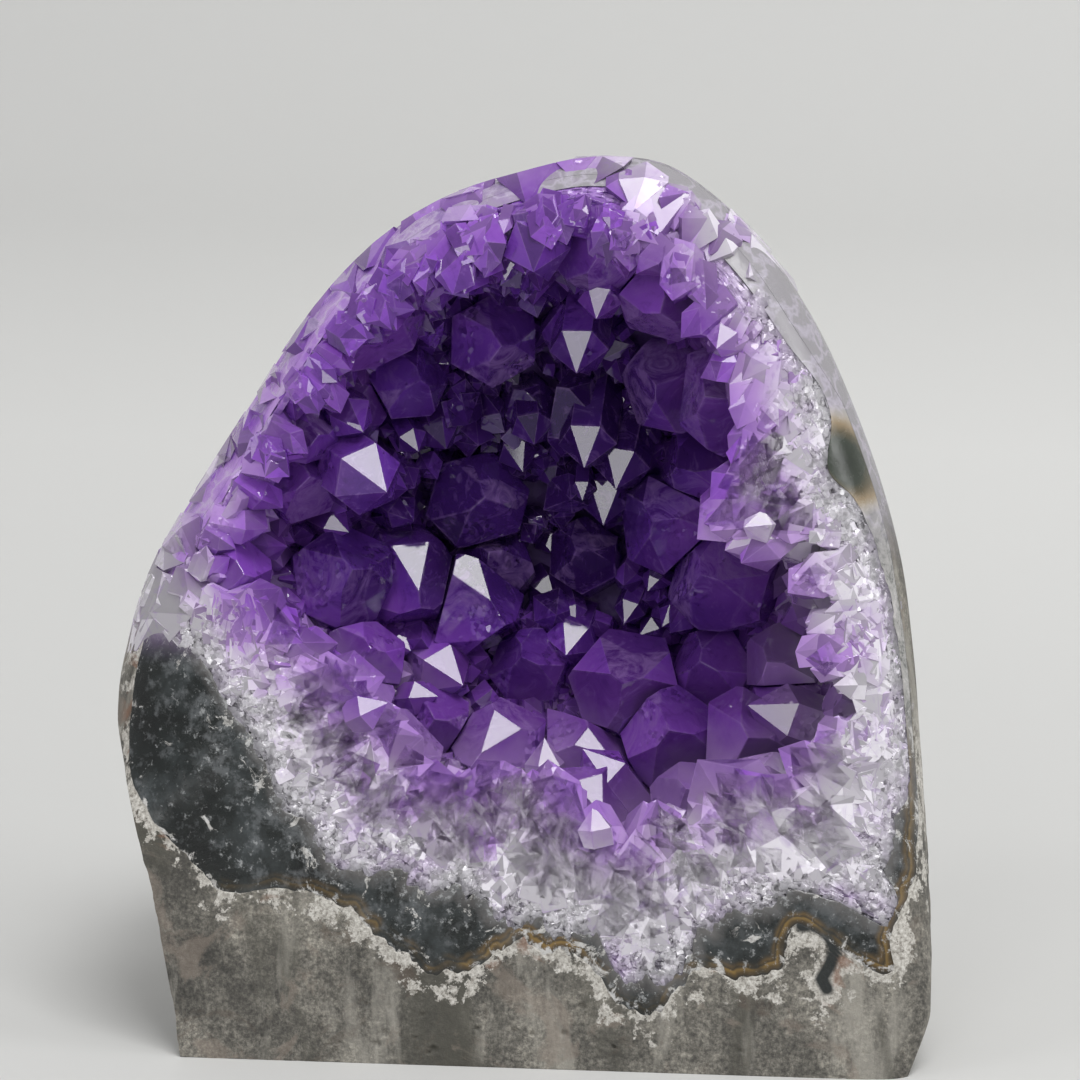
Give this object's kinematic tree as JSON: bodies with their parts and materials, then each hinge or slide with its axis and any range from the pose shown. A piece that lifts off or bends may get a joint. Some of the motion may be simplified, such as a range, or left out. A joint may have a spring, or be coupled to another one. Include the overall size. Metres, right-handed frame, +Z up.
{
  "type": "amethyst geode",
  "caption": "Cut-base geode: a ground basalt shell lined with dark chalcedony and white quartz, with amethyst crystals filling its hollow.",
  "frame": {"origin": "middle of the footprint box, on the surface that the sawn base stands on", "axes": "+Z up, through the crest; the hollow opens towards -Y and leans back 9 degrees; +X is to the right as the hollow is looked into"},
  "size_m": [0.1096, 0.0719, 0.1172],
  "materials": {
    "basalt": "matte",
    "chalcedony": "polished",
    "quartz": "satin",
    "amethyst": "polished"
  },
  "bodies": {
    "root": {"basalt_matrix": "basalt", "chalcedony_band": "chalcedony", "quartz_bed": "quartz", "amethyst_crown_left": "amethyst", "amethyst_crown_middle": "amethyst", "amethyst_crown_right": "amethyst", "amethyst_crown_small_left": "amethyst", "amethyst_crown_small_right": "amethyst", "amethyst_flash_crest": "amethyst", "amethyst_flash_dark": "amethyst", "amethyst_flash_floor": "amethyst", "amethyst_flash_heart": "amethyst", "amethyst_flash_heart_left": "amethyst", "amethyst_flash_left": "amethyst", "amethyst_flash_left_rim": "amethyst", "amethyst_flash_low": "amethyst", "amethyst_flash_low_left": "amethyst", "amethyst_flash_low_veil": "amethyst", "amethyst_flash_pyramid": "amethyst", "amethyst_flash_right": "amethyst", "amethyst_flash_spur": "amethyst", "amethyst_flash_striped": "amethyst", "amethyst_flash_upper": "amethyst", "amethyst_floor_clear": "amethyst", "amethyst_floor_grey": "amethyst", "amethyst_floor_lilac": "amethyst", "amethyst_floor_pink": "amethyst", "amethyst_heart_above": "amethyst", "amethyst_heart_high": "amethyst", "amethyst_heart_low": "amethyst", "amethyst_heart_right": "amethyst", "amethyst_left_block": "amethyst", "amethyst_left_high": "amethyst", "amethyst_left_low": "amethyst", "amethyst_left_mid": "amethyst", "amethyst_left_pale": "amethyst", "amethyst_lilac_right": "amethyst", "amethyst_lower_dark": "amethyst", "amethyst_lower_left_clear": "amethyst", "amethyst_lower_left_pale": "amethyst", "amethyst_lower_left_plum": "amethyst", "amethyst_lower_left_veil": "amethyst", "amethyst_plum_right": "amethyst", "amethyst_right_big": "amethyst", "amethyst_right_inner": "amethyst", "amethyst_right_pale": "amethyst", "amethyst_right_rim_high": "amethyst", "amethyst_right_rim_low": "amethyst", "amethyst_right_round": "amethyst", "amethyst_rim_lilac": "amethyst", "amethyst_shoulder_long": "amethyst", "amethyst_shoulder_right": "amethyst", "amethyst_shoulder_spur": "amethyst", "amethyst_twin_lower": "amethyst", "amethyst_twin_right": "amethyst", "amethyst_twin_upper": "amethyst", "amethyst_upper_hollow": "amethyst", "amethyst_upper_ledge": "amethyst", "amethyst_veil_right": "amethyst"}
  },
  "joints": []
}
